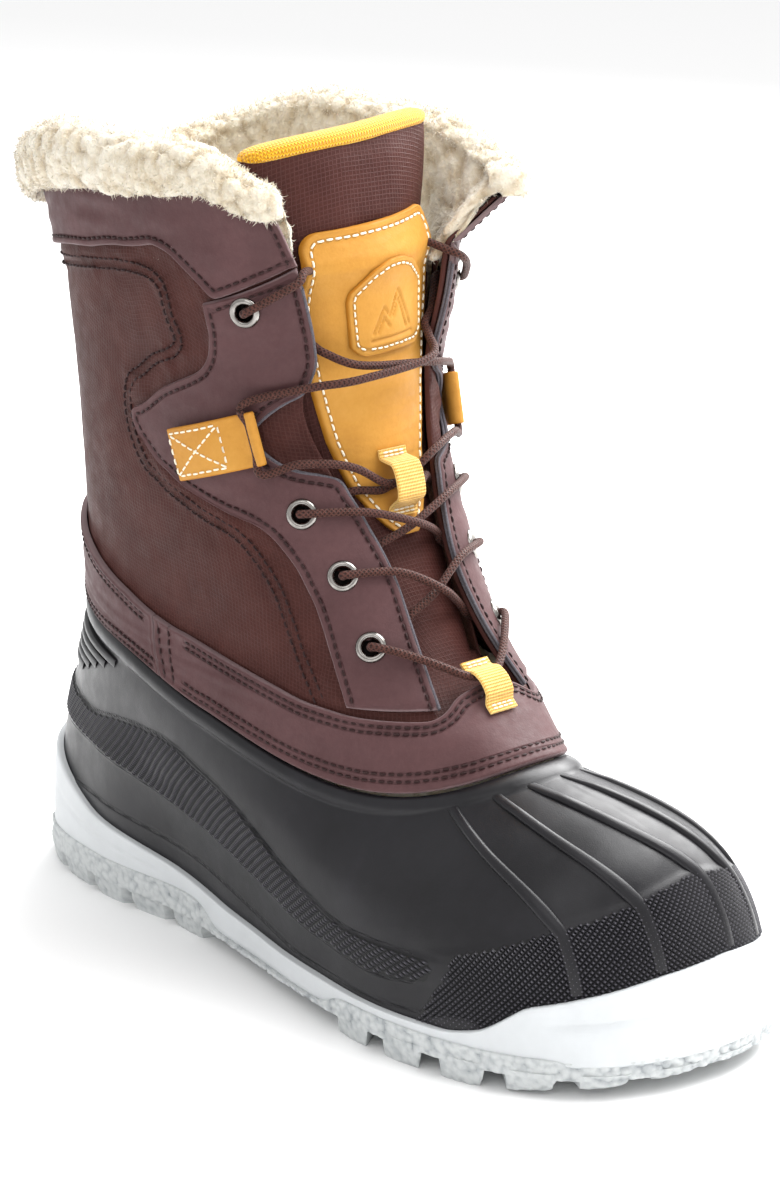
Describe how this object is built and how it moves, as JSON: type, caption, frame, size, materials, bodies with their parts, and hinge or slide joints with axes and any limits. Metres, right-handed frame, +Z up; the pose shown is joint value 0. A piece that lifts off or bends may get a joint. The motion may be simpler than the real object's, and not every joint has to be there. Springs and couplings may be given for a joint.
{
  "type": "insulated hunting boot",
  "caption": "Right winter boot: lugged sole, moulded rubber galosh, laced leather and nylon shaft, fleece collar and a padded tongue that tips back.",
  "frame": {"origin": "on the ground under the middle of the boot's bounding box", "axes": "+Z up; -Y towards the toe, +Y towards the heel; -X is the outer (lateral) side of this right boot"},
  "size_m": [0.1375, 0.3147, 0.2955],
  "materials": {
    "tread_rubber": "matt, granular",
    "white_rubber": "satin",
    "galosh_rubber": "satin, with a faint bloom",
    "board": "matt",
    "felt": "matt felt",
    "fleece": "deep clumped pile",
    "plum_leather": "fine grain, semi-matt",
    "ripstop": "ripstop nylon weave",
    "tan_leather": "smooth, waxy",
    "yellow_knit": "ribbed binding",
    "gold_webbing": "woven",
    "lace_cord": "braided",
    "nickel": "polished nickel plate"
  },
  "bodies": {
    "boot": {"outsole": "tread_rubber", "sole_wall": "white_rubber", "rubber_galosh": "galosh_rubber", "insole_board": "board", "footbed": "felt", "foot_lining": "fleece", "vamp_band": "plum_leather", "heel_band": "plum_leather", "quarter_lateral": "ripstop", "quarter_medial": "ripstop", "facing_lateral": "plum_leather", "facing_medial": "plum_leather", "collar_leather": "plum_leather", "eyelets": "nickel", "eyelet_washers": "nickel", "lace_tab_lateral": "tan_leather", "lace_tab_medial": "tan_leather", "gusset_lateral": "ripstop", "gusset_medial": "ripstop", "shaft_lining": "fleece", "fleece_collar": "fleece", "vamp_loop": "gold_webbing", "lace": "lace_cord"},
    "tongue": {"tongue_pad": "ripstop", "tongue_binding": "yellow_knit", "tongue_overlay": "tan_leather", "tongue_badge": "tan_leather", "tongue_keeper": "gold_webbing", "tongue_lining": "fleece", "lace_on_tongue": "lace_cord"}
  },
  "joints": [
    {"name": "tongue_tilt", "type": "hinge", "parent": "boot", "child": "tongue", "pos_m": [0, -0.038, 0.112], "axis": [-1, 0, 0], "range_deg": [0, 8], "stiffness_Nm_per_rad": 0.8, "springref_deg": -8.59}
  ]
}
